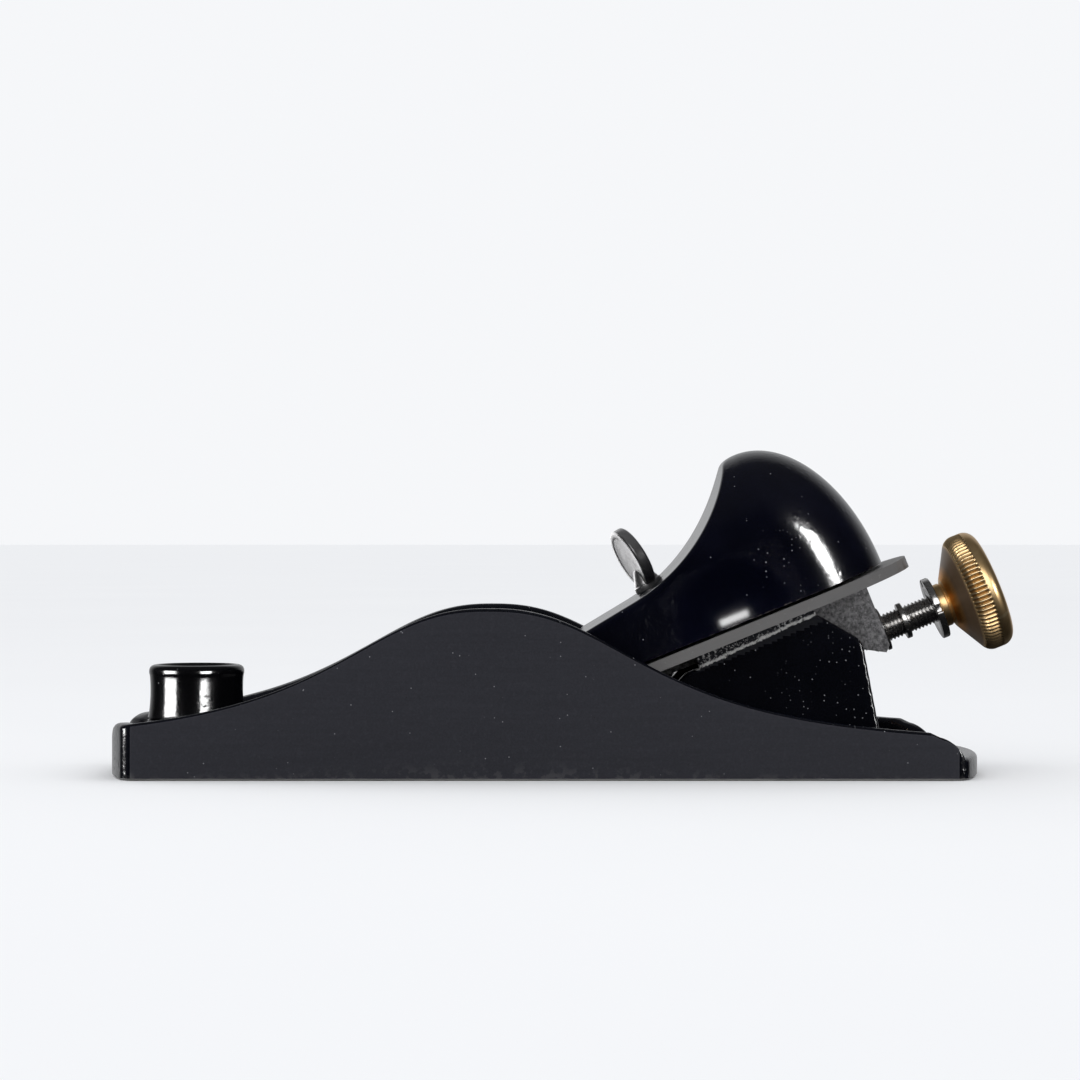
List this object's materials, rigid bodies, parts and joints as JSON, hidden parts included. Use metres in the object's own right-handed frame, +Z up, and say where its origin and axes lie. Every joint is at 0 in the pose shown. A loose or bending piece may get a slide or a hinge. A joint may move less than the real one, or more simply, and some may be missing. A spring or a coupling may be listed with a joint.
{
  "type": "block plane",
  "caption": "Low-angle block plane: humped iron body, hooded lever cap, wide steel cutter, brass depth knob at the heel and a round finger rest at the toe.",
  "frame": {"origin": "centre of the sole, midway between toe and heel", "axes": "+X towards the heel, +Y across to the user's left when the toe points away, +Z up off the sole"},
  "size_m": [0.1879, 0.051, 0.0672],
  "materials": {
    "body_enamel": "gloss black enamel over cast iron, sides rubbed to a dull charcoal",
    "gloss_black": "deep gloss black",
    "bright_nickel": "bright nickel plate",
    "zinc_sheet": "dull zinc plate with fine specks",
    "blade_steel": "satin grey ground tool steel",
    "spring_steel": "dark oiled spring steel",
    "knob_brass": "lacquered brass, knurled rim",
    "cap_enamel": "deep gloss black enamel over a casting, faintly pimpled",
    "dull_nickel": "tumbled nickel plate",
    "pad_brass": "turned brass"
  },
  "bodies": {
    "plane_body": {"body_casting": "body_enamel", "finger_rest": "gloss_black", "finger_rest_screw": "bright_nickel", "finger_rest_washer": "bright_nickel", "cap_screw": "bright_nickel", "pivot_washer": "zinc_sheet"},
    "carrier": {"adjuster_carrier": "zinc_sheet"},
    "spindle": {"feed_spindle": "bright_nickel", "thrust_washer": "bright_nickel", "spindle_clip": "spring_steel", "knob_locknut": "bright_nickel", "depth_knob": "knob_brass"},
    "blade": {"cutter": "blade_steel", "feed_nut": "zinc_sheet"},
    "cap": {"lever_cap": "cap_enamel"},
    "pad": {"clamp_pad": "pad_brass"},
    "screw": {"clamp_screw": "dull_nickel"}
  },
  "joints": [
    {"name": "lateral_swing", "type": "hinge", "parent": "plane_body", "child": "carrier", "pos_m": [0.00112, 0, 0.01274], "axis": [-0.3746, 0, 0.9272], "range_deg": [-1.5, 1.5]},
    {"name": "knob_turn", "type": "hinge", "parent": "carrier", "child": "spindle", "pos_m": [0.07545, 0, 0.03166], "axis": [0.9272, 0, 0.3746], "range_deg": [-545, 1625]},
    {"name": "cutter_feed", "type": "slide", "parent": "carrier", "child": "blade", "axis": [0.9272, 0, 0.3746], "range_m": [-0.0012, 0.0036]},
    {"name": "cap_slide", "type": "slide", "parent": "plane_body", "child": "cap", "axis": [0.9272, 0, 0.3746], "range_m": [0, 0.008]},
    {"name": "pad_feed", "type": "slide", "parent": "cap", "child": "pad", "axis": [-0.5165, 0, 0.8563], "range_m": [0, 0.0012]},
    {"name": "clamp_turn", "type": "hinge", "parent": "pad", "child": "screw", "pos_m": [0.02228, 0, 0.03831], "axis": [-0.5165, 0, 0.8563], "range_deg": [0, 545]}
  ],
  "couplings": [
    {"joint": "knob_turn", "follows": "cutter_feed", "rad_per_m": 7854},
    {"joint": "clamp_turn", "follows": "pad_feed", "rad_per_m": 7854}
  ]
}
